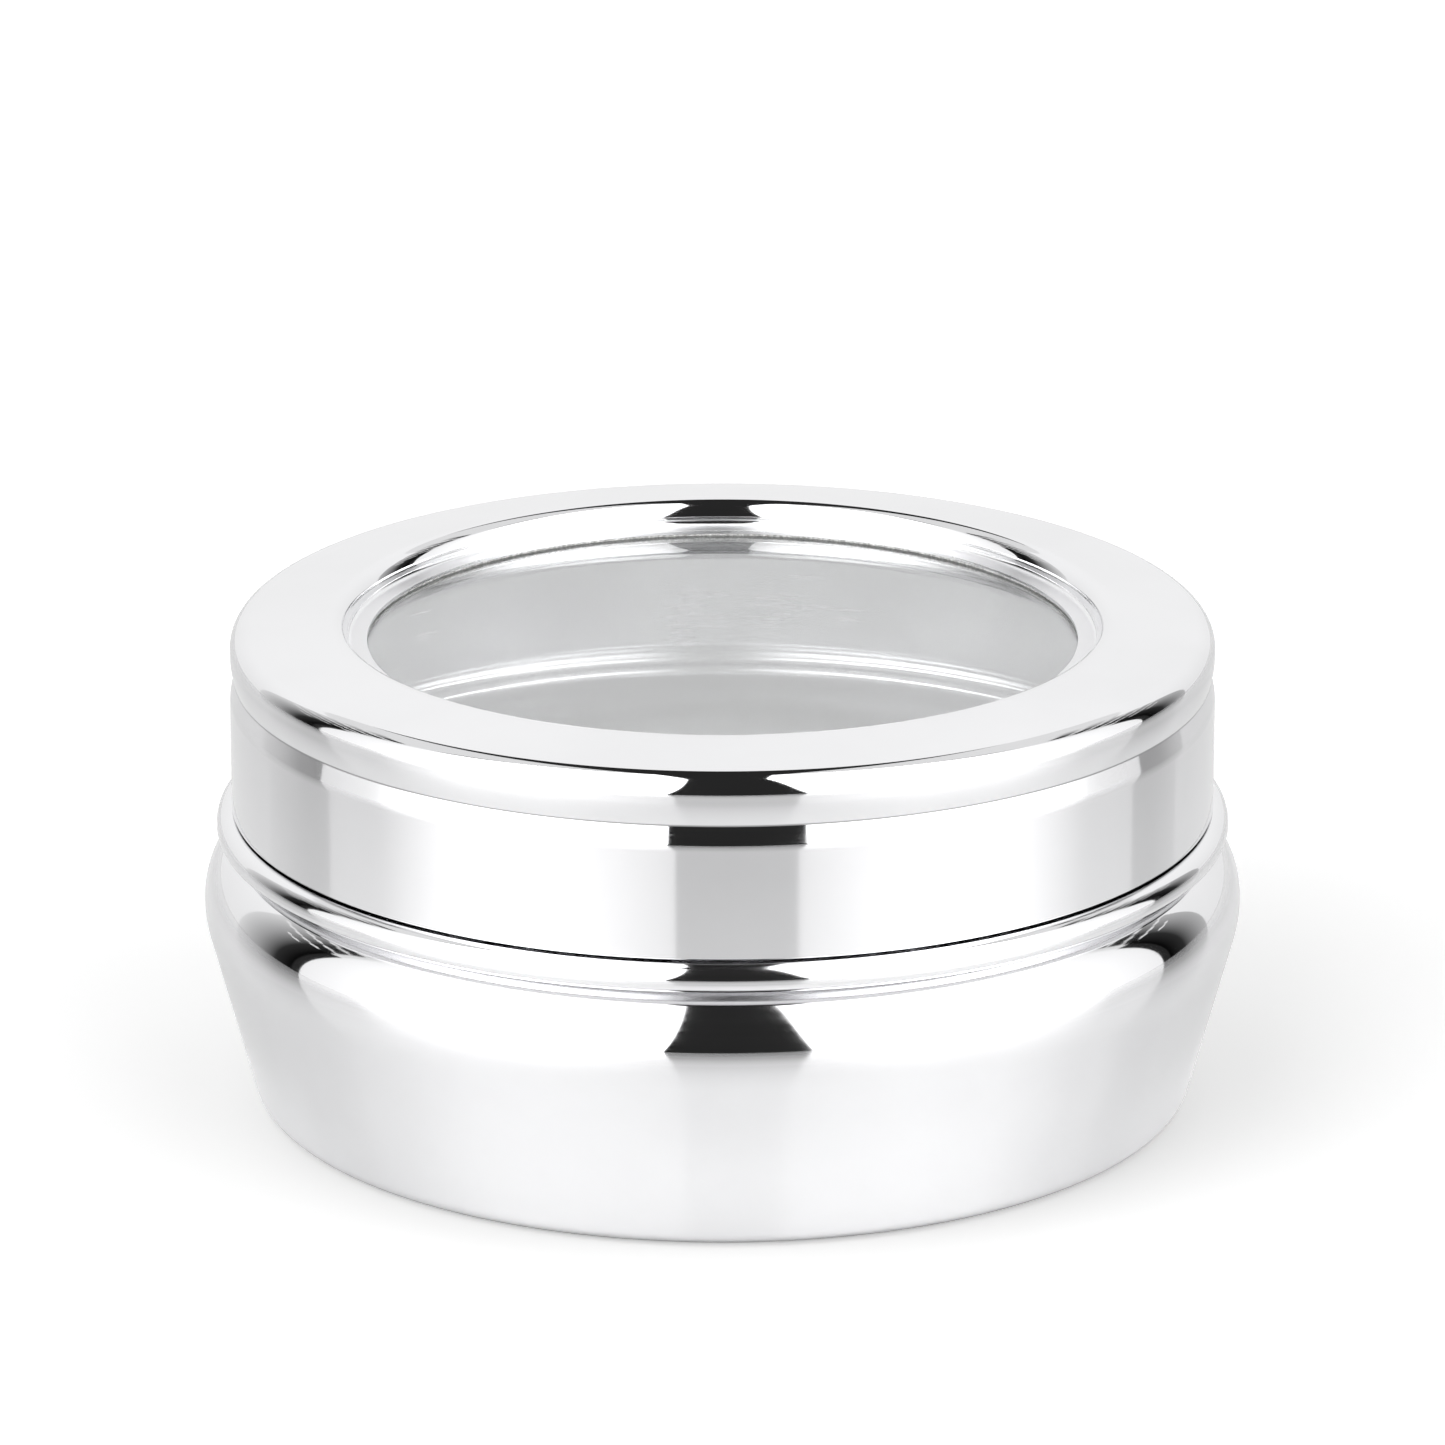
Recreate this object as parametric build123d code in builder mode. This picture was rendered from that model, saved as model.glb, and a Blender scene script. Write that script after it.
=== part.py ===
"""Round stainless-steel spice box (masala dabba): a belly-shaped box, a see-through lift-off lid,
seven loose cups and a small spoon.

Millimetres, +Z up. The origin is the centre of the foot ring, on the surface the box stands on.
Every sheet-metal piece is one outline in the half plane, given its sheet thickness and revolved.
"""

import os
from math import cos, radians, sin, tan

from build123d import *

# Sheet thicknesses
box_sheet = 0.7
cup_sheet = 0.5
ring_sheet = 0.6

# Box body: pressed base, tapered lower wall, belly, shoulder, rolled bead and plain neck
belly_radius = 100.0
belly_low = 36.7  # where the lower wall's taper line meets the belly's vertical
belly_high = 47.3  # where the shoulder's line meets the belly's vertical
belly_low_round = 18.6
belly_high_round = 14.4
wall_taper = 15.2  # degrees from vertical
base_round = 4.0
panel_radius = 79.8
panel_rise = 1.2  # the pressed-in panel stands this far above the foot ring
panel_round = 0.9
crease_radius = 91.7  # the crease under the bead
crease_height = 52.8
crease_round = 0.3
bead_radius = 97.5
bead_bottom = 52.1
bead_bottom_round = 2.0
bead_top = 57.8
bead_top_round = 3.1
neck_radius = 93.3
neck_round = 0.8
rim_height = 77.6
edge_round = 0.3

# Lid: plain skirt, fine groove, rounded corner, gently rising annulus, rounded lip and window ledge
skirt_radius = 94.6
skirt_bottom = 58.2
flare_height = 80.0  # where the skirt starts to lean in towards the groove
flare_round = 8.0
groove_radius = 93.85
groove_height = 84.1
groove_round = 0.75
corner_radius = 94.5
corner_low = 86.6
corner_low_round = 16.5
corner_high = 93.42
corner_round = 4.2
annulus_slope = 6.3  # degrees, rising towards the window
lip_radius = 72  # the short upright wall below the rounded lip
lip_round = 3.3
ledge_height = 91  # the flat ledge that the pane is held up against
ledge_round = 0.95
window_radius = 68.2

# Window: clear pane in a U-shaped seal, held up against the ledge by a ring under the annulus
pane_radius = 71.5
pane_thickness = 2.0
seal_lip = 0.5
seal_inner = 68.6
seal_outer = 73.2
retainer_inner = 69.9
retainer_lip = 2.4  # the ring's inner edge is turned down this far
retainer_wall = 76.6
retainer_outer = 83.6
retainer_round = 1.0

# Cups: one in the middle and six round it
ring_cups = 6
ring_radius = 58.8
first_angle = 30.0
cup_base = 22.5
cup_base_round = 5.0
cup_wall = 26.8
cup_height = 35.5
curl_width = 1.7
curl_drop = 1.9
curl_round = 0.8

# Spoon: leans in the middle cup with its handle between two ring cups
spoon_sheet = 0.8
spoon_bowl_radius = 8.5
spoon_bowl_depth = 4.0
spoon_lean = 41.5  # degrees from horizontal
spoon_foot = (-12.2, 6.7)  # x and z of the middle of the bowl's rim plane
handle_reach = 64.0  # from the middle of the bowl to the handle's tip
handle_arch = 24.0  # where the handle's arch is highest, and how high
handle_arch_height = 3.0
handle_bend = 40.0
handle_tip_half = 2.9
handle_root_half = 1.9
handle_tip_round = 2.2

HALF_PLANE = Plane.XZ
AXIS = Axis.Z


def finish(part, name):
    """Label a finished sub-part and write it as its own STEP file."""
    part.label = name
    export_step(part, f"parts/{name}.step")


def annulus_line(radius):
    """Height of the lid annulus's outer surface line at a radius."""
    return corner_high + (corner_radius - radius) * tan(radians(annulus_slope))


def upright(x, y, z):
    """The half plane through a vertical axis that stands at x, y, with its own origin at height z."""
    return Plane(origin=(x, y, z), x_dir=(1, 0, 0), z_dir=(0, -1, 0))


os.makedirs("parts", exist_ok=True)

# --- Box body -------------------------------------------------------------------------------------
base_corner = belly_radius - belly_low * tan(radians(wall_taper))
box_outline = [
    (0, panel_rise),
    (panel_radius, panel_rise),
    (panel_radius + panel_rise, 0),
    (base_corner, 0),
    (belly_radius, belly_low),
    (belly_radius, belly_high),
    (crease_radius, crease_height),
    (bead_radius, bead_bottom),
    (bead_radius, bead_top),
    (neck_radius, bead_top),
    (neck_radius, rim_height),
]
box_rounds = [
    panel_round,
    panel_round,
    base_round,
    belly_low_round,
    belly_high_round,
    crease_round,
    bead_bottom_round,
    bead_top_round,
    neck_round,
]

with BuildPart() as box_body:
    with BuildSketch(HALF_PLANE) as box_section:
        with BuildLine():
            FilletPolyline(*box_outline, radius=box_rounds)
            offset(amount=box_sheet, side=Side.LEFT)
        make_face()
        fillet(box_section.vertices().group_by(Axis.Y)[-1], radius=edge_round)
    revolve(axis=AXIS)
finish(box_body.part, "box_body")

# --- Lid frame ------------------------------------------------------------------------------------
lid_outline = [
    (skirt_radius, skirt_bottom),
    (skirt_radius, flare_height),
    (groove_radius, groove_height),
    (corner_radius, corner_low),
    (corner_radius, corner_high),
    (lip_radius, annulus_line(lip_radius)),
    (lip_radius, ledge_height),
    (window_radius, ledge_height),
]
lid_rounds = [
    flare_round,
    groove_round,
    corner_low_round,
    corner_round,
    lip_round,
    ledge_round,
]

with BuildPart() as lid_frame:
    with BuildSketch(HALF_PLANE) as lid_section:
        with BuildLine():
            FilletPolyline(*lid_outline, radius=lid_rounds)
            offset(amount=box_sheet, side=Side.LEFT)
        make_face()
        fillet(lid_section.vertices().group_by(Axis.Y)[0], radius=edge_round)
    revolve(axis=AXIS)
finish(lid_frame.part, "lid_frame")

# --- Lid window: pane, seal and the ring that keeps them up -----------------------------------------
seal_top = ledge_height - box_sheet
pane_top = seal_top - seal_lip
pane_bottom = pane_top - pane_thickness
seal_bottom = pane_bottom - seal_lip

with BuildPart() as lid_window:
    with BuildSketch(Plane.XY.offset(pane_bottom)):
        Circle(pane_radius)
    extrude(amount=pane_thickness)
finish(lid_window.part, "lid_window")

with BuildPart() as window_seal:
    with BuildSketch(HALF_PLANE):
        with BuildLine():
            Polyline(
                (seal_inner, seal_top),
                (seal_outer, seal_top),
                (seal_outer, seal_bottom),
                (seal_inner, seal_bottom),
                (seal_inner, pane_bottom),
                (pane_radius, pane_bottom),
                (pane_radius, pane_top),
                (seal_inner, pane_top),
                close=True,
            )
        make_face()
    revolve(axis=AXIS)
finish(window_seal.part, "window_seal")

# The ring's outer flange lies against the underside of the sloping annulus.
underside_drop = box_sheet / cos(radians(annulus_slope))
retainer_outline = [
    (retainer_inner, seal_bottom - retainer_lip),
    (retainer_inner, seal_bottom),
    (retainer_wall, seal_bottom),
    (retainer_wall, annulus_line(retainer_wall) - underside_drop),
    (retainer_outer, annulus_line(retainer_outer) - underside_drop),
]

with BuildPart() as window_retainer:
    with BuildSketch(HALF_PLANE):
        with BuildLine():
            FilletPolyline(*retainer_outline, radius=retainer_round)
            offset(amount=ring_sheet, side=Side.RIGHT)
        make_face()
    revolve(axis=AXIS)
finish(window_retainer.part, "window_retainer")

# --- Cups -----------------------------------------------------------------------------------------
floor_height = panel_rise + box_sheet


def make_cup(name, x, y):
    """A tapered cup with a rim curled outwards, standing on the box's floor at x, y."""
    curl_radius = cup_wall + curl_width
    outline = [
        (0, 0),
        (cup_base, 0),
        (cup_wall, cup_height - cup_sheet),
        (curl_radius, cup_height - cup_sheet),
        (curl_radius, cup_height - cup_sheet - curl_drop),
    ]
    rounds = [cup_base_round, curl_round, curl_round]
    plane = upright(x, y, floor_height)
    with BuildPart() as cup:
        with BuildSketch(plane):
            with BuildLine():
                FilletPolyline(*outline, radius=rounds)
                offset(amount=cup_sheet, side=Side.LEFT)
            make_face()
        revolve(axis=Axis((x, y, 0), (0, 0, 1)))
    finish(cup.part, name)


make_cup("cup_centre", 0, 0)
for i in range(ring_cups):
    angle = radians(first_angle + i * 360 / ring_cups)
    make_cup(f"cup_{i + 1}", ring_radius * cos(angle), ring_radius * sin(angle))

# --- Spoon ----------------------------------------------------------------------------------------
lean = radians(spoon_lean)
along = (cos(lean), 0, sin(lean))
up = (-sin(lean), 0, cos(lean))
bowl_centre = (spoon_foot[0], 0, floor_height + spoon_foot[1])
spoon_face = Plane(origin=bowl_centre, x_dir=along, z_dir=up)
spoon_side = Plane(origin=bowl_centre, x_dir=along, z_dir=(0, -1, 0))
bowl_sphere = (spoon_bowl_radius**2 + spoon_bowl_depth**2) / (2 * spoon_bowl_depth)

handle_root = spoon_bowl_radius - 0.5  # the handle starts just inside the bowl's rim

with BuildPart() as spoon:
    with BuildSketch(spoon_side):
        with BuildLine():
            FilletPolyline(
                (handle_root, -0.5),
                (handle_arch, handle_arch_height),
                (handle_reach, 0),
                radius=handle_bend,
            )
            offset(amount=spoon_sheet, side=Side.RIGHT)
        make_face()
    extrude(amount=handle_tip_half, both=True)
    with BuildSketch(spoon_face) as handle_plan:
        with BuildLine():
            Polyline(
                (handle_root - 1, -handle_root_half),
                (handle_reach, -handle_tip_half),
                (handle_reach, handle_tip_half),
                (handle_root - 1, handle_root_half),
                close=True,
            )
        make_face()
        fillet(handle_plan.vertices().group_by(Axis.X)[-1], radius=handle_tip_round)
    extrude(amount=2 * handle_arch_height, both=True, mode=Mode.INTERSECT)
    with BuildSketch(spoon_side):
        with BuildLine():
            RadiusArc((0, -spoon_bowl_depth), (spoon_bowl_radius, 0), -bowl_sphere)
            offset(amount=spoon_sheet, side=Side.LEFT)
        make_face()
    revolve(axis=Axis(bowl_centre, up))
finish(spoon.part, "spoon")
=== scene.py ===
"""Mirror-polished round spice box with a see-through lid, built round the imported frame.

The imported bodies, sizes and places come from the frame. Outlines are in millimetres in the half
plane (radius, height), as in the part, and are turned into dense lathe meshes in metres.
"""

import math

import bpy
import numpy as np
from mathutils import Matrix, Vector


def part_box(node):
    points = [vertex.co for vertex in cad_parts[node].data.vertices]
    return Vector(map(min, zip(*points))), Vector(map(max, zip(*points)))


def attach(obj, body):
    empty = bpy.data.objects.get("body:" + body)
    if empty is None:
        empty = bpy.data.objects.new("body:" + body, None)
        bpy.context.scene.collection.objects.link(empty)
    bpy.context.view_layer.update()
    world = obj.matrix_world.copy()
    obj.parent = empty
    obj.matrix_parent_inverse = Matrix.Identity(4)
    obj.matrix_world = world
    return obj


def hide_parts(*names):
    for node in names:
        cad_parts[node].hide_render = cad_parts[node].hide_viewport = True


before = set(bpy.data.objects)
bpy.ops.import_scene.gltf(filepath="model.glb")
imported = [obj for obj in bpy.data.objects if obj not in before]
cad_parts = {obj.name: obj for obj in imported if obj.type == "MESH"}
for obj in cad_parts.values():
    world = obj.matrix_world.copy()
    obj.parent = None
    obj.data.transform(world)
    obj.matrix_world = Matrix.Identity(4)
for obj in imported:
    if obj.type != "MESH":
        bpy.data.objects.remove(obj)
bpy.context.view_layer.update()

MM = 0.001
TURNS = 360  # steps round the box and lid
CUP_TURNS = 144
ARC_STEP = math.radians(2.5)
CAP_STEPS = 8  # steps in each quarter round of a sheet's cut edge
CORNER_CROWN = 0.2  # how far the middle of an eased corner stands out, as a part of its edge
ON_AXIS = 1e-9  # mm: a smaller radius is on the axis
SAME_POINT = 1e-6  # mm: points closer than this are one point


def top(node):
    """Greatest height of a CAD node, in millimetres."""
    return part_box(node)[1].z / MM


def bottom(node):
    """Least height of a CAD node, in millimetres."""
    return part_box(node)[0].z / MM


def outer(node):
    """Outer radius of a CAD node that is round and centred, in millimetres."""
    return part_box(node)[1].x / MM


# --- Driving dimensions, in millimetres -----------------------------------------------------------
box_sheet = 0.7
cup_sheet = 0.5
ring_sheet = 0.6

belly_radius = outer("box_body")
belly_low, belly_low_round = 36.7, 18.6
belly_high, belly_high_round = 47.3, 14.4
wall_taper = math.radians(15.2)
base_round = 4.0
panel_radius, panel_rise, panel_round = 79.8, 1.2, 0.9
crease_radius, crease_height, crease_round = 91.7, 52.8, 0.3
bead_radius = 97.5
bead_bottom, bead_bottom_round = 52.1, 2.0
bead_top, bead_top_round = 57.8, 3.1
neck_radius, neck_round = 93.3, 0.8
rim_height = top("box_body")

skirt_radius = outer("lid_frame")
skirt_bottom = bottom("lid_frame")
flare_height, flare_round = 80.0, 8.0
groove_radius, groove_height, groove_round = 93.85, 84.1, 0.75
corner_radius, corner_low, corner_low_round = 94.5, 86.6, 16.5
corner_high, corner_round = 93.42, 4.2
annulus_slope = math.radians(6.3)
lip_radius, lip_round = 72.0, 3.3
ledge_height, ledge_round = 91.0, 0.95
window_radius = 68.2

pane_radius = outer("lid_window")
pane_bottom, pane_top = bottom("lid_window"), top("lid_window")
seal_bottom, seal_top = bottom("window_seal"), top("window_seal")
seal_inner, seal_outer = 68.6, outer("window_seal")
retainer_inner, retainer_lip, retainer_wall = 69.9, 2.4, 76.6
retainer_outer, retainer_round = outer("window_retainer"), 1.0

cup_base, cup_base_round = 22.5, 5.0
cup_wall, curl_width, curl_drop, curl_round = 26.8, 1.7, 1.9, 0.8
cup_floor = bottom("cup_centre")
cup_height = top("cup_centre") - cup_floor

cut_edge = 0.33  # rounding of the box's rim and the skirt's lower edge
window_edge = 0.08
retainer_edge = 0.1
cup_edge = 0.2
pane_edge = 0.2
seal_edge = 0.1


# --- Lathe helpers --------------------------------------------------------------------------------
def outward(tangent):
    """Normal to the right of a tangent, which is an outline's outer side."""
    return np.array([tangent[1], -tangent[0]])


def unit(vector):
    """A vector of length 1."""
    return vector / np.linalg.norm(vector)


def rounded(points, rounds):
    """Samples (point, unit tangent) along an outline whose inner corners are tangent arcs."""
    points = [np.array(p, float) for p in points]
    samples = [(points[0], unit(points[1] - points[0]))]
    for before, corner, after, radius in zip(points, points[1:], points[2:], rounds):
        way_in = unit(corner - before)
        way_out = unit(after - corner)
        turn = math.atan2(way_in[0] * way_out[1] - way_in[1] * way_out[0], way_in @ way_out)
        start = corner - way_in * radius * math.tan(abs(turn) / 2)
        side = math.copysign(1, turn)
        middle = start - side * radius * outward(way_in)
        steps = max(2, math.ceil(abs(turn) / ARC_STEP))
        for i in range(steps + 1):
            angle = turn * i / steps
            c, s = math.cos(angle), math.sin(angle)
            tangent = np.array([c * way_in[0] - s * way_in[1], s * way_in[0] + c * way_in[1]])
            samples.append((middle + side * radius * outward(tangent), tangent))
    samples.append((points[-1], unit(points[-1] - points[-2])))
    return samples


def cap(end, tangent, thickness, edge):
    """The strip round the end of a sheet, from its outer face to its inner one."""
    normal = outward(tangent)
    strip = []
    for sign in (1, -1):
        centre = end + normal * (-thickness / 2 + sign * (thickness / 2 - edge)) - tangent * edge
        for i in range(CAP_STEPS + 1):
            angle = math.pi / 2 * (i / CAP_STEPS if sign > 0 else 1 + i / CAP_STEPS)
            way = normal * math.cos(angle) + tangent * math.sin(angle)
            strip.append((centre + way * edge, way))
    return strip


def sheet_section(points, rounds, thickness, end_edge, start_edge=None):
    """Closed section of a sheet that lies left of its outline, as strips of (point, normal).

    Its end is rounded by end_edge. Its start is rounded by start_edge or lies on the axis."""
    path = rounded(points, rounds)
    start, start_tangent = path[0]
    end, end_tangent = path[-1]
    path[-1] = (end - end_tangent * end_edge, end_tangent)
    if start_edge:
        path[0] = (start + start_tangent * start_edge, start_tangent)
    outside = [(p, outward(t)) for p, t in path]
    inside = [(p - n * thickness, -n) for p, n in reversed(outside)]
    strips = [outside, cap(end, end_tangent, thickness, end_edge), inside]
    if start_edge:
        back = start - outward(start_tangent) * thickness
        strips.append(cap(back, -start_tangent, thickness, start_edge))
    return strips


def solid_section(corners, edge):
    """Closed section of a solid ring or disc: straight sides and slightly eased corners."""
    corners = [np.array(c, float) for c in corners]
    strips = []
    count = len(corners)
    for i in range(count):
        here, there, after = corners[i], corners[(i + 1) % count], corners[(i + 2) % count]
        if here[0] < ON_AXIS and there[0] < ON_AXIS:
            continue
        way = unit(there - here)
        normal = outward(way)
        first = here + way * (edge if here[0] > ON_AXIS else 0)
        last = there - way * (edge if there[0] > ON_AXIS else 0)
        strips.append([(first, normal), (last, normal)])
        if there[0] < ON_AXIS:
            continue
        next_way = unit(after - there)
        next_normal = outward(next_way)
        next_first = there + next_way * edge
        half = unit(normal + next_normal)
        middle = (last + next_first) / 2 + half * edge * CORNER_CROWN
        strips.append([(last, normal), (middle, half), (next_first, next_normal)])
    return strips


def lathe(name, strips, turns):
    """Mesh object of a closed section turned about the local Z axis, with exact smooth normals."""
    rings, segments = [], []
    for strip in strips:
        for i, (point, normal) in enumerate(strip):
            if not rings or np.linalg.norm(rings[-1] - point) > SAME_POINT:
                rings.append(point)
            if i:
                segments.append((len(rings) - 2, len(rings) - 1, strip[i - 1][1], normal))
    if np.linalg.norm(rings[0] - rings[-1]) < SAME_POINT:
        rings.pop()
    count = len(rings)
    angles = np.arange(turns) * 2 * math.pi / turns
    around = np.stack([np.cos(angles), np.sin(angles)], 1)
    first, vertices = [], []
    for r, z in rings:
        first.append(len(vertices))
        if r < ON_AXIS:
            vertices.append((0, 0, z * MM))
        else:
            vertices.extend((x * r * MM, y * r * MM, z * MM) for x, y in around)

    def corner(ring, step):
        """Vertex of a ring at a step round the axis; a ring on the axis has only one."""
        return first[ring] + (0 if rings[ring][0] < ON_AXIS else step)

    faces, normals = [], []
    for a, b, normal_a, normal_b in segments:
        a, b = a % count, b % count
        if a == b or (rings[a][0] < ON_AXIS and rings[b][0] < ON_AXIS):
            continue
        for j in range(turns):
            k = (j + 1) % turns
            face = []
            corners = ((a, j, normal_a), (a, k, normal_a), (b, k, normal_b), (b, j, normal_b))
            for ring, step, normal in corners:
                vertex = corner(ring, step)
                if vertex in face:
                    continue
                face.append(vertex)
                x, y = around[step]
                normals.append((normal[0] * x, normal[0] * y, normal[1]))
            faces.append(face)
    mesh = bpy.data.meshes.new(name)
    mesh.from_pydata(vertices, [], faces)
    mesh.polygons.foreach_set("use_smooth", [True] * len(faces))
    mesh.normals_split_custom_set(normals)
    mesh.update()
    piece = bpy.data.objects.new(name, mesh)
    bpy.context.scene.collection.objects.link(piece)
    return piece


def place(piece, node, body, material):
    """Stand a piece in for a CAD node and give it its body and material."""
    piece.data.materials.clear()
    piece.data.materials.append(material)
    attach(piece, body)
    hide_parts(node)


# --- Materials ------------------------------------------------------------------------------------
STEEL = (0.80, 0.80, 0.81)
DULL = 0.965  # how much of its colour the steel keeps where it is dullest
GROOVE_SHADE_COLOUR = (0.12, 0.12, 0.12, 1)  # painted shade: a dark line at the bottom of a fine groove
GROOVE_SHADE_AMOUNT = 0.55
GROOVE_SHADE_FADE = 0.0001  # metres
RING_CELLS = 2.5  # noise cells across the unit circle, round the axis
LINE_CELLS = 2600.0  # noise cells per metre along the outline
SMUDGE_CELLS, SPECK_CELLS = 26.0, 900.0  # noise cells per metre
SMUDGE_ROUGHNESS, LINE_ROUGHNESS = 0.05, 0.03  # added where a smudge or a turning line is
SPECK_HEIGHT = 0.15  # height of the specks, as a part of the lines'
BRUSHED_FADE = 0.0003  # metres
BRUSHED_ROUGHNESS, BRUSHED_LINES = 0.36, 7.0  # added roughness, and how much higher the lines are
INSIDE_FULL, INSIDE_NONE = -0.004, -0.001  # metres: radius times the normal's outward part


class Surface:
    """A node material with a Principled shader, and short ways to add nodes to it."""

    def __init__(self, name):
        self.material = bpy.data.materials.new(name)
        self.material.use_nodes = True
        self.tree = self.material.node_tree
        self.inputs = self.tree.nodes["Principled BSDF"].inputs

    def fill(self, socket, value):
        """Link an output socket to an input, or give the input a constant."""
        if isinstance(value, bpy.types.NodeSocket):
            self.tree.links.new(value, socket)
        else:
            socket.default_value = value

    def node(self, kind, inputs, **settings):
        """A new node with its settings, and with its named or numbered inputs filled."""
        node = self.tree.nodes.new("ShaderNode" + kind)
        for setting, value in settings.items():
            setattr(node, setting, value)
        for key, value in inputs.items():
            self.fill(node.inputs[key], value)
        return node

    def place(self):
        """The point's place in its object, in metres."""
        return self.node("TexCoord", {}).outputs["Object"]

    def math(self, operation, *values):
        """A sum done on sockets and numbers."""
        return self.node("Math", dict(enumerate(values)), operation=operation).outputs[0]

    def add(self, a, b):
        return self.math("ADD", a, b)

    def times(self, a, b):
        return self.math("MULTIPLY", a, b)

    def ramp(self, source, low, high, value_low, value_high):
        """A source going from low to high turned into value_low to value_high, clamped."""
        inputs = {
            "Value": source,
            "From Min": low,
            "From Max": high,
            "To Min": value_low,
            "To Max": value_high,
        }
        return self.node("MapRange", inputs).outputs["Result"]

    def band(self, source, low, high, fade, amount=1.0):
        """The amount where the source is between low and high, fading out beside them."""
        rise = self.ramp(source, low - fade, low, 0.0, amount)
        return self.times(rise, self.ramp(source, high, high + fade, 1.0, 0.0))

    def noise(self, vector, scale, detail, roughness):
        """Noise from 0 to 1, with so many cells for each unit of the vector."""
        inputs = {"Vector": vector, "Scale": scale, "Detail": detail, "Roughness": roughness}
        return self.node("TexNoise", inputs).outputs["Fac"]

    def blend(self, factor, a, b):
        """Colour a where the factor is 0 and colour b where it is 1."""
        inputs = {"Factor": factor, "A": a, "B": b}
        return self.node("Mix", inputs, data_type="RGBA").outputs["Result"]

    def bump(self, height, strength, distance):
        """Tilt the shader's normal by a height."""
        inputs = {"Strength": strength, "Distance": distance, "Height": height}
        self.fill(self.inputs["Normal"], self.node("Bump", inputs).outputs["Normal"])


def ring_coordinates(steel, where):
    """Radius, height and a vector that changes slowly round the axis and fast along the outline."""
    x, y, z = steel.node("SeparateXYZ", {0: where}).outputs
    squares = steel.add(steel.times(x, x), steel.times(y, y))
    radius = steel.math("SQRT", steel.add(squares, 1e-10))
    rings = {
        0: steel.times(steel.math("DIVIDE", x, radius), RING_CELLS),
        1: steel.times(steel.math("DIVIDE", y, radius), RING_CELLS),
        2: steel.times(steel.add(radius, z), LINE_CELLS),
    }
    return radius, z, steel.node("CombineXYZ", rings).outputs[0]


def facing_inwards(steel, where):
    """1 where the surface faces the axis and 0 where it faces away from it."""
    level_place = steel.node("VectorMath", {0: where, 1: (1, 1, 0)}, operation="MULTIPLY")
    normal = steel.node("NewGeometry", {}).outputs["Normal"]
    facing = steel.node("VectorMath", {0: level_place.outputs[0], 1: normal}, operation="DOT_PRODUCT")
    return steel.ramp(facing.outputs["Value"], INSIDE_FULL, INSIDE_NONE, 1.0, 0.0)


def polished_steel(name, gloss=0.03, lines=0.25, brushed=None, satin_inside=0.0, groove_line=None):
    """Polished sheet steel: fine turning lines, faint smudges and slight waviness.

    gloss is the least roughness and lines the height of the turning lines. brushed is a band of
    radii, in metres, where the metal is turned but not polished, satin_inside is how much rougher
    the surfaces that face the axis are, and groove_line is the pair of heights, in metres, between
    which painted shade darkens the bottom of a fine groove."""
    steel = Surface(name)
    steel.inputs["Metallic"].default_value = 1.0
    where = steel.place()
    radius, z, rings = ring_coordinates(steel, where)
    fine = steel.noise(rings, 1.0, 3.0, 0.6)
    cloud = steel.noise(where, SMUDGE_CELLS, 3.0, 0.55)
    speck = steel.noise(where, SPECK_CELLS, 2.0, 0.5)

    dull = (*[c * DULL for c in STEEL], 1)
    colour = steel.blend(steel.ramp(cloud, 0.35, 0.65, 0.0, 1.0), dull, (*STEEL, 1))
    if groove_line:
        # Painted shade: the steel's colour is darkened at the bottom of the fine groove.
        groove_shade = steel.band(z, *groove_line, GROOVE_SHADE_FADE, GROOVE_SHADE_AMOUNT)
        colour = steel.blend(groove_shade, colour, GROOVE_SHADE_COLOUR)
    steel.fill(steel.inputs["Base Color"], colour)

    rough = steel.add(
        steel.ramp(cloud, 0.42, 0.75, gloss, gloss + SMUDGE_ROUGHNESS),
        steel.ramp(fine, 0.45, 0.8, 0.0, LINE_ROUGHNESS),
    )
    height = steel.add(steel.times(fine, lines), steel.times(speck, lines * SPECK_HEIGHT))
    if brushed:
        turned = steel.band(radius, *brushed, BRUSHED_FADE)
        rough = steel.add(rough, steel.times(turned, BRUSHED_ROUGHNESS))
        height = steel.times(height, steel.add(steel.times(turned, BRUSHED_LINES), 1.0))
    if satin_inside:
        rough = steel.add(rough, steel.times(facing_inwards(steel, where), satin_inside))
    steel.fill(steel.inputs["Roughness"], rough)
    steel.bump(height, 0.12, 0.00001)
    return steel.material


def clear_plastic(name):
    """Clear acrylic pane: faint waviness and a very light haze."""
    plastic = Surface(name)
    plastic.inputs["Base Color"].default_value = (0.99, 1.0, 1.0, 1)
    plastic.inputs["Transmission Weight"].default_value = 0.94
    plastic.inputs["IOR"].default_value = 1.49
    where = plastic.place()
    haze = plastic.ramp(plastic.noise(where, 40.0, 3.0, 0.5), 0.3, 0.8, 0.0, 0.035)
    plastic.fill(plastic.inputs["Roughness"], haze)
    plastic.bump(plastic.noise(where, 22.0, 1.0, 0.4), 0.1, 0.0003)
    return plastic.material


def silicone(name):
    """Milky matt seal with a dusty, slightly lumpy surface."""
    rubber = Surface(name)
    lumps = rubber.noise(rubber.place(), 1400.0, 3.0, 0.6)
    dust = rubber.ramp(lumps, 0.35, 0.65, 0.0, 1.0)
    colour = rubber.blend(dust, (0.30, 0.30, 0.29, 1), (0.78, 0.78, 0.77, 1))
    rubber.fill(rubber.inputs["Base Color"], colour)
    rubber.fill(rubber.inputs["Roughness"], rubber.ramp(lumps, 0.3, 0.7, 0.35, 0.7))
    rubber.bump(lumps, 0.5, 0.0001)
    return rubber.material


box_steel = polished_steel("box_steel", satin_inside=0.2)
# The lid's fine groove gets a line of painted shade at its bottom.
lid_steel = polished_steel("lid_steel", brushed=(0.0683, 0.0716), groove_line=(0.08400, 0.08425))
ring_steel = polished_steel("ring_steel", gloss=0.12, lines=1.0)
cup_steel = polished_steel("cup_steel", gloss=0.14, lines=0.5)
spoon_steel = polished_steel("spoon_steel", gloss=0.08)
pane_plastic = clear_plastic("clear_pane")
seal_rubber = silicone("seal")

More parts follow.
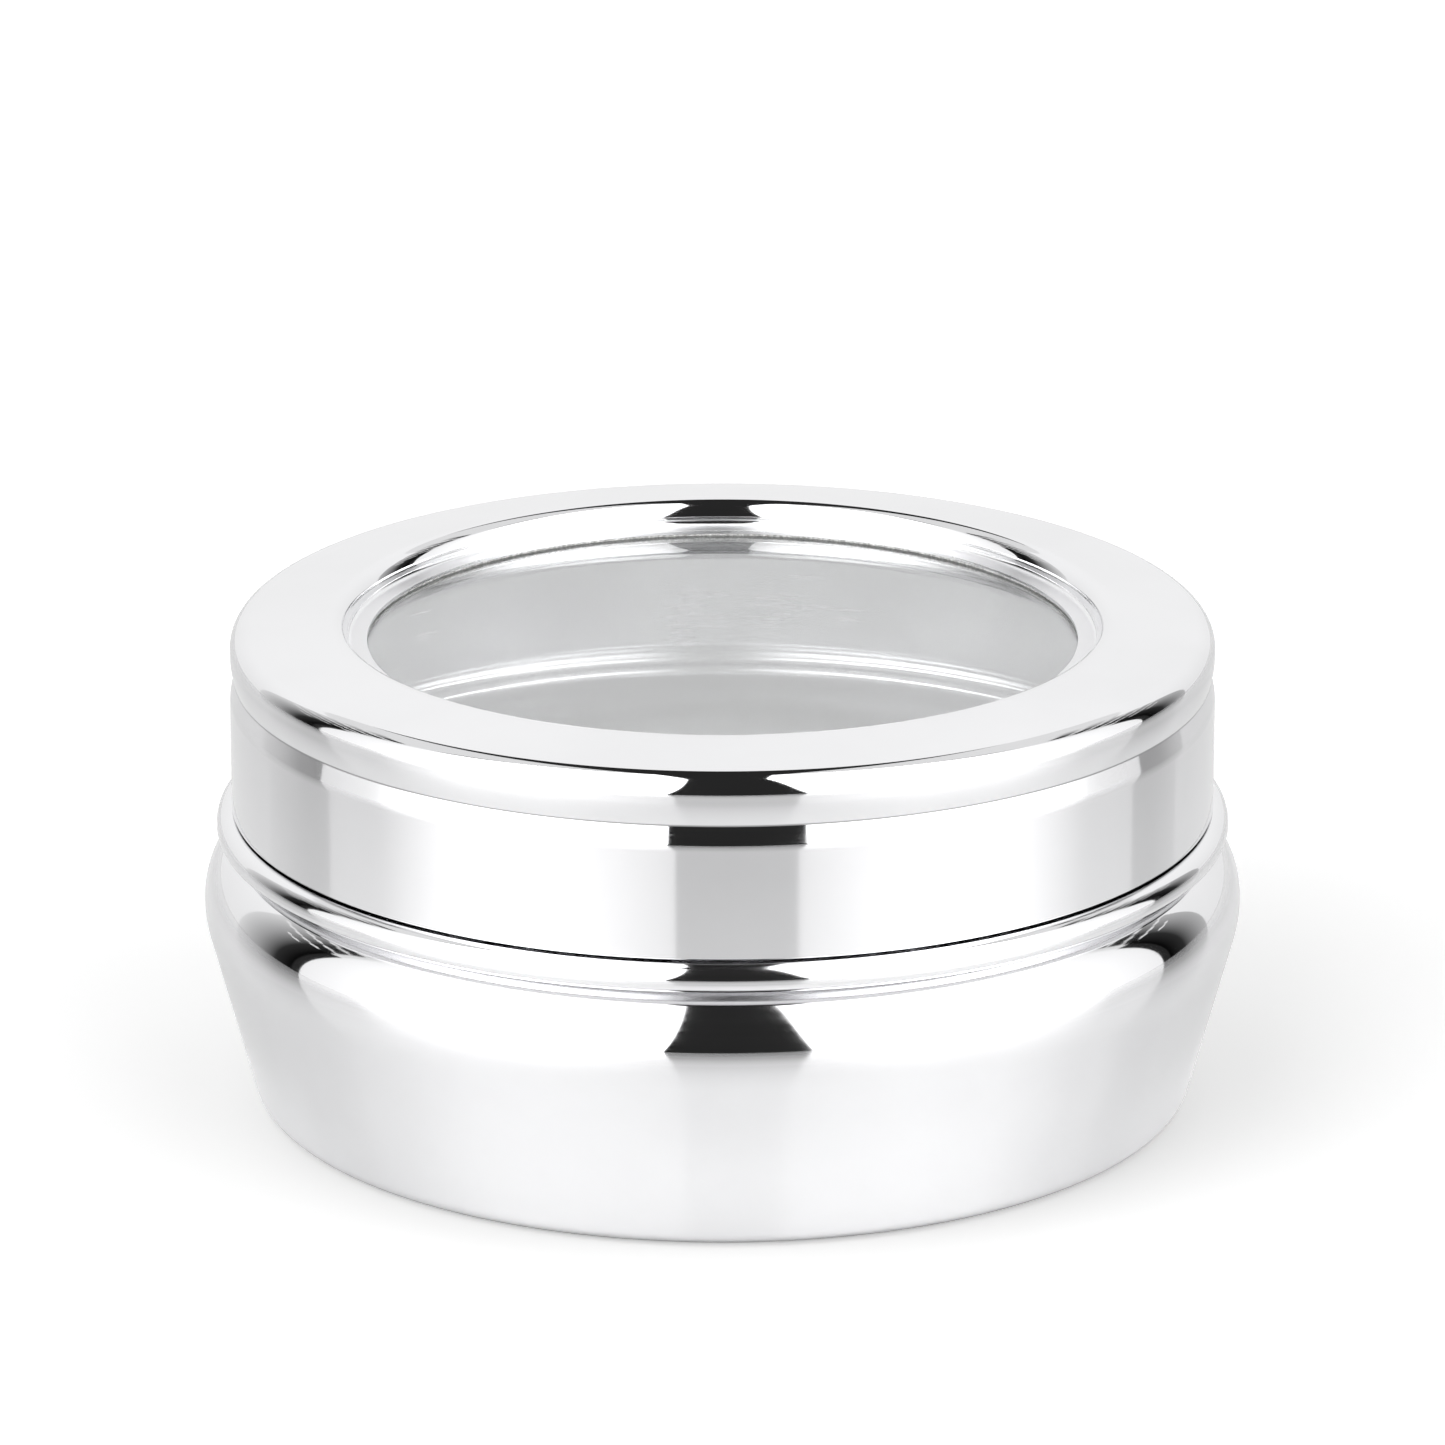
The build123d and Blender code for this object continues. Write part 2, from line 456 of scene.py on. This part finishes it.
# --- Box body -------------------------------------------------------------------------------------
base_corner = belly_radius - belly_low * math.tan(wall_taper)
box_outline = [
    (0, panel_rise),
    (panel_radius, panel_rise),
    (panel_radius + panel_rise, 0),
    (base_corner, 0),
    (belly_radius, belly_low),
    (belly_radius, belly_high),
    (crease_radius, crease_height),
    (bead_radius, bead_bottom),
    (bead_radius, bead_top),
    (neck_radius, bead_top),
    (neck_radius, rim_height),
]
box_rounds = [
    panel_round,
    panel_round,
    base_round,
    belly_low_round,
    belly_high_round,
    crease_round,
    bead_bottom_round,
    bead_top_round,
    neck_round,
]
box_shell = lathe("box_shell", sheet_section(box_outline, box_rounds, box_sheet, cut_edge), TURNS)
place(box_shell, "box_body", "box", box_steel)


# --- Lid frame ------------------------------------------------------------------------------------
def annulus_line(radius):
    """Height of the lid annulus's outer surface line at a radius."""
    return corner_high + (corner_radius - radius) * math.tan(annulus_slope)


lid_outline = [
    (skirt_radius, skirt_bottom),
    (skirt_radius, flare_height),
    (groove_radius, groove_height),
    (corner_radius, corner_low),
    (corner_radius, corner_high),
    (lip_radius, annulus_line(lip_radius)),
    (lip_radius, ledge_height),
    (window_radius, ledge_height),
]
lid_rounds = [flare_round, groove_round, corner_low_round, corner_round, lip_round, ledge_round]
lid_section = sheet_section(lid_outline, lid_rounds, box_sheet, window_edge, cut_edge)
lid_shell = lathe("lid_shell", lid_section, TURNS)
place(lid_shell, "lid_frame", "lid", lid_steel)

# --- Lid window -----------------------------------------------------------------------------------
pane_corners = [(0, pane_bottom), (pane_radius, pane_bottom), (pane_radius, pane_top), (0, pane_top)]
pane = lathe("window_pane", solid_section(pane_corners, pane_edge), TURNS)
place(pane, "lid_window", "lid", pane_plastic)

seal_corners = [
    (seal_inner, seal_bottom),
    (seal_outer, seal_bottom),
    (seal_outer, seal_top),
    (seal_inner, seal_top),
    (seal_inner, pane_top),
    (pane_radius, pane_top),
    (pane_radius, pane_bottom),
    (seal_inner, pane_bottom),
]
seal = lathe("seal_ring", solid_section(seal_corners, seal_edge), TURNS)
place(seal, "window_seal", "lid", seal_rubber)

underside_drop = box_sheet / math.cos(annulus_slope)
retainer_outline = [
    (retainer_outer, annulus_line(retainer_outer) - underside_drop),
    (retainer_wall, annulus_line(retainer_wall) - underside_drop),
    (retainer_wall, seal_bottom),
    (retainer_inner, seal_bottom),
    (retainer_inner, seal_bottom - retainer_lip),
]
retainer_section = sheet_section(
    retainer_outline, [retainer_round] * 3, ring_sheet, retainer_edge, retainer_edge
)
retainer = lathe("retaining_ring", retainer_section, TURNS)
place(retainer, "window_retainer", "lid", ring_steel)

# --- Cups -----------------------------------------------------------------------------------------
cup_outline = [
    (0, 0),
    (cup_base, 0),
    (cup_wall, cup_height - cup_sheet),
    (cup_wall + curl_width, cup_height - cup_sheet),
    (cup_wall + curl_width, cup_height - cup_sheet - curl_drop),
]
cup_rounds = [cup_base_round, curl_round, curl_round]
cup_section = sheet_section(cup_outline, cup_rounds, cup_sheet, cup_edge)


def make_cup(node):
    """One cup, standing where its CAD node stands."""
    low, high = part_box(node)
    cup = lathe(node + "_shell", cup_section, CUP_TURNS)
    cup.location = ((low.x + high.x) / 2, (low.y + high.y) / 2, low.z)
    place(cup, node, node, cup_steel)


for node in sorted(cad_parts):
    if node.startswith("cup_"):
        make_cup(node)

# --- Spoon ----------------------------------------------------------------------------------------
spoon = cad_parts["spoon"]
spoon.data.materials.clear()
spoon.data.materials.append(spoon_steel)

# --- Studio: light cards, backdrop, table and floor -----------------------------------------------
# Angles are in degrees. The camera sees only the floor and the surround.
STUDIO_RADIUS = 3.0
BEHIND_RADIUS = 3.1  # for the dimmer cards behind the softboxes and the backdrop
SURROUND_RADIUS, SURROUND_GLOW = 5.0, 1.2
TABLE_RADIUS = 2.7
ROOM_LIGHT = 0.024
CARD_FOOT = -3.0  # the cards start a little below the horizon
SLIT_TURN = 3.3  # the gap between the softboxes stands a little to the right
GAP_AT_TABLE, GAP_ABOVE, GAP_NARROWS = 15.6, 5.0, 80.0  # half widths, and where it stops narrowing
SOFTBOX_TOP, SOFTBOX_EDGE, SOFTBOX_EDGE_TOP = 104.0, 106.0, 60.0
SOFTBOX_LIGHT = ((0.0, 2.2), (0.33, 5.0), (0.55, 4.5), (0.8, 1.3), (1.0, 1.1))  # gap to outer edge
CROWN_START, CROWN_END, CROWN_EDGE, CROWN_GAP = 102.0, 141.0, 55.0, 12.0
CROWN_LIGHT = 0.9
WING_START, WING_END, WING_TOP = 109.0, 134.0, 50.0
WING_LIGHT = ((0.0, 0.0), (0.25, 0.03), (0.55, 0.4), (1.0, 0.85))  # softbox to backdrop
BACKDROP_START, BACKDROP_END, BACKDROP_TOP = 130.0, 230.0, 39.5
BACKDROP_LIGHT = ((0.0, 0.95), (0.8, 1.1), (1.0, 1.1))  # from the table up
# Painted light: the greys rise close to the box to offset the box's own shadow on the table.
TABLE_TONES = ((0.085, 0.54), (0.12, 0.47), (0.31, 0.36), (1.0, 0.36))  # (radius in metres, grey)
TABLE_ROUGHNESS, TABLE_IOR = 0.12, 1.38
FLOOR_GREY, FLOOR_GLOW = 0.92, 0.46
FLOOR_ROUGHNESS = 0.9
FLOOR_DROP = 0.0002  # keeps the floor's mesh clear of the table's


def glow_material():
    """Light for every card, as bright as the card's own "glow" attribute says."""
    material = bpy.data.materials.new("card_glow")
    material.use_nodes = True
    nodes = material.node_tree.nodes
    nodes.clear()
    strength = nodes.new("ShaderNodeAttribute")
    strength.attribute_name = "glow"
    glow = nodes.new("ShaderNodeEmission")
    out = nodes.new("ShaderNodeOutputMaterial")
    material.node_tree.links.new(strength.outputs["Fac"], glow.inputs["Strength"])
    material.node_tree.links.new(glow.outputs[0], out.inputs["Surface"])
    return material


card_glow = glow_material()


def stage_sheet(name, vertices, faces, material):
    """A piece of the studio, which isn't part of the object."""
    mesh = bpy.data.meshes.new(name)
    mesh.from_pydata(vertices, [], faces)
    mesh.materials.append(material)
    sheet = bpy.data.objects.new(name, mesh)
    bpy.context.scene.collection.objects.link(sheet)
    return sheet


def glowing_sheet(name, vertices, faces, glows):
    """A studio piece that shines, with a brightness for each vertex."""
    sheet = stage_sheet(name, vertices, faces, card_glow)
    sheet.data.attributes.new("glow", "FLOAT", "POINT").data.foreach_set("value", glows)
    return sheet


def hide_from(sheet, *kinds):
    """Hide a studio piece from kinds of ray, such as camera, glossy or shadow."""
    for kind in kinds:
        setattr(sheet, "visible_" + kind, False)


def level(steps, t):
    """Value at t along a list of (place, value) steps."""
    places, values = zip(*steps)
    return float(np.interp(t, places, values))


def card(name, rows, columns, radius, where, light):
    """A curved card out of the camera's sight: where(u, v) gives its direction and light(u, v) its
    brightness, for u and v from 0 to 1."""
    vertices, glows = [], []
    for i in range(rows + 1):
        for j in range(columns + 1):
            u, v = i / rows, j / columns
            vertices.append(Vector(where(u, v)).normalized() * radius)
            glows.append(light(u, v))
    faces = []
    for i in range(rows):
        for j in range(columns):
            a = i * (columns + 1) + j
            faces.append((a, a + 1, a + columns + 2, a + columns + 1))
    hide_from(glowing_sheet(name, vertices, faces, glows), "camera")


def direction(lateral, over):
    """Unit vector: lateral degrees out of the plane x = 0, and over degrees from the front horizon
    over the top to the back one."""
    a, b = math.radians(lateral), math.radians(over)
    return Vector((math.sin(a), -math.cos(a) * math.cos(b), math.cos(a) * math.sin(b)))


def azimuth_direction(azimuth, elevation):
    """Unit vector at an azimuth from the front, towards +X, and an elevation, in degrees."""
    a, b = math.radians(azimuth), math.radians(elevation)
    return Vector((math.sin(a) * math.cos(b), -math.cos(a) * math.cos(b), math.sin(b)))


def mix(a, b, t):
    """The number a part t of the way from a to b."""
    return a + (b - a) * t


def mirrored(point, side):
    """A point of the right-hand half of the studio, or its mirror image, turned with the gap."""
    x, y = side * point.x, point.y
    c, s = math.cos(math.radians(SLIT_TURN)), math.sin(math.radians(SLIT_TURN))
    return (c * x - s * y, s * x + c * y, point.z)


def softbox_direction(side):
    """Where a softbox's points lie: a slanting tent wall beside the gap in the middle."""

    def where(u, v):
        over = mix(CARD_FOOT, SOFTBOX_TOP, u)
        gap = mix(GAP_AT_TABLE, GAP_ABOVE, min(1.0, max(0.0, over / GAP_NARROWS)))
        outer_edge = azimuth_direction(SOFTBOX_EDGE, mix(CARD_FOOT, SOFTBOX_EDGE_TOP, u))
        return mirrored(direction(gap, over).slerp(outer_edge, v), side)

    return where


def crown_direction(side):
    """Where the tent's dimmer top lies, between a softbox and the backdrop."""

    def where(u, v):
        over = mix(CROWN_START, CROWN_END, u)
        lateral = mix(mix(GAP_ABOVE, CROWN_GAP, u), CROWN_EDGE, v)
        return mirrored(direction(lateral, over), side)

    return where


def wing_direction(side):
    """Where the soft light between a softbox's outer edge and the backdrop lies."""

    def where(u, v):
        azimuth, elevation = mix(WING_START, WING_END, v), mix(CARD_FOOT, WING_TOP, u)
        return mirrored(azimuth_direction(azimuth, elevation), side)

    return where


def backdrop_direction(u, v):
    """Where the backdrop behind the box lies."""
    return azimuth_direction(mix(BACKDROP_START, BACKDROP_END, v), mix(CARD_FOOT, BACKDROP_TOP, u))


def softbox_light(u, v):
    return level(SOFTBOX_LIGHT, v)


def crown_light(u, v):
    return CROWN_LIGHT


def wing_light(u, v):
    return level(WING_LIGHT, v)


def backdrop_light(u, v):
    return level(BACKDROP_LIGHT, u)


for side, hand in ((1, "right"), (-1, "left")):
    card("softbox_" + hand, 24, 24, STUDIO_RADIUS, softbox_direction(side), softbox_light)
    card("crown_" + hand, 12, 16, BEHIND_RADIUS, crown_direction(side), crown_light)
    card("wing_" + hand, 12, 16, BEHIND_RADIUS, wing_direction(side), wing_light)
card("backdrop_card", 12, 24, STUDIO_RADIUS, backdrop_direction, backdrop_light)


def disc(name, height, material):
    """A flat round sheet facing up, with its rows closer together near the middle."""
    rings, turns = 24, 96
    vertices, faces = [(0, 0, height)], []
    for i in range(1, rings + 1):
        r = TABLE_RADIUS * (i / rings) ** 2
        for j in range(turns):
            a = 2 * math.pi * j / turns
            vertices.append((r * math.cos(a), r * math.sin(a), height))
    for j in range(turns):
        faces.append((0, 1 + j, 1 + (j + 1) % turns))
    for i in range(rings - 1):
        for j in range(turns):
            a, b = 1 + i * turns, 1 + (i + 1) * turns
            k = (j + 1) % turns
            faces.append((a + j, b + j, b + k, a + k))
    return stage_sheet(name, vertices, faces, material)


def table_material():
    """The glossy table top that the steel mirrors, with painted light near the box against its
    shadow.
    """
    table = Surface("table_top")
    radius = table.node("VectorMath", {0: table.place()}, operation="LENGTH").outputs["Value"]
    tones = table.node("ValToRGB", {"Fac": radius})
    for i, (place_of_stop, grey) in enumerate(TABLE_TONES):
        stop = tones.color_ramp.elements[i] if i < 2 else tones.color_ramp.elements.new(1.0)
        stop.position = place_of_stop
        stop.color = (grey, grey, grey, 1)
    table.fill(table.inputs["Base Color"], tones.outputs["Color"])
    table.inputs["Roughness"].default_value = TABLE_ROUGHNESS
    table.inputs["IOR"].default_value = TABLE_IOR
    return table.material


def floor_material():
    """The plain pale floor that the camera sees, matt, with the box's soft shadow on it."""
    floor = Surface("floor")
    floor.inputs["Base Color"].default_value = (FLOOR_GREY, FLOOR_GREY, FLOOR_GREY, 1)
    floor.inputs["Roughness"].default_value = FLOOR_ROUGHNESS
    floor.inputs["Specular IOR Level"].default_value = 0.0
    floor.inputs["Emission Color"].default_value = (1, 1, 1, 1)
    floor.inputs["Emission Strength"].default_value = FLOOR_GLOW
    return floor.material


hide_from(disc("table_top", 0.0, table_material()), "camera", "transmission", "shadow")
hide_from(disc("floor", -FLOOR_DROP, floor_material()), "glossy", "diffuse")


def surround():
    """A white ball of sky that only the camera sees, so that every view has a plain pale ground."""
    rows, columns = 16, 32
    vertices, faces = [], []
    for i in range(rows + 1):
        for j in range(columns):
            a, b = 2 * math.pi * j / columns, math.pi * (i / rows - 0.5)
            ring = SURROUND_RADIUS * math.cos(b)
            vertices.append((ring * math.cos(a), ring * math.sin(a), SURROUND_RADIUS * math.sin(b)))
    for i in range(rows):
        for j in range(columns):
            k = (j + 1) % columns
            a, b = i * columns, (i + 1) * columns
            faces.append((a + j, a + k, b + k, b + j))
    sheet = glowing_sheet("surround", vertices, faces, [SURROUND_GLOW] * len(vertices))
    hide_from(sheet, "diffuse", "glossy", "transmission", "volume_scatter", "shadow")


surround()

world = bpy.data.worlds.new("room")
world.use_nodes = True
world.node_tree.nodes["Background"].inputs["Color"].default_value = (1, 1, 1, 1)
world.node_tree.nodes["Background"].inputs["Strength"].default_value = ROOM_LIGHT
bpy.context.scene.world = world
bpy.context.scene.cycles.max_bounces = 16
bpy.context.scene.cycles.glossy_bounces = 12

# --- Camera ---------------------------------------------------------------------------------------
camera_data = bpy.data.cameras.new("camera")
camera_data.lens = 258.9
camera_data.sensor_width = 36.0
camera_data.clip_end = 50.0
camera = bpy.data.objects.new("camera", camera_data)
bpy.context.scene.collection.objects.link(camera)
aim = Vector((0, 0, 0.07335))
camera_distance, camera_elevation = 2.0, math.radians(18.19)
back = Vector((0, -math.cos(camera_elevation), math.sin(camera_elevation)))
camera.location = aim + back * camera_distance
camera.rotation_mode = "QUATERNION"
camera.rotation_quaternion = (-back).to_track_quat("-Z", "Y")
bpy.context.scene.camera = camera
bpy.context.scene.view_settings.view_transform = "Standard"
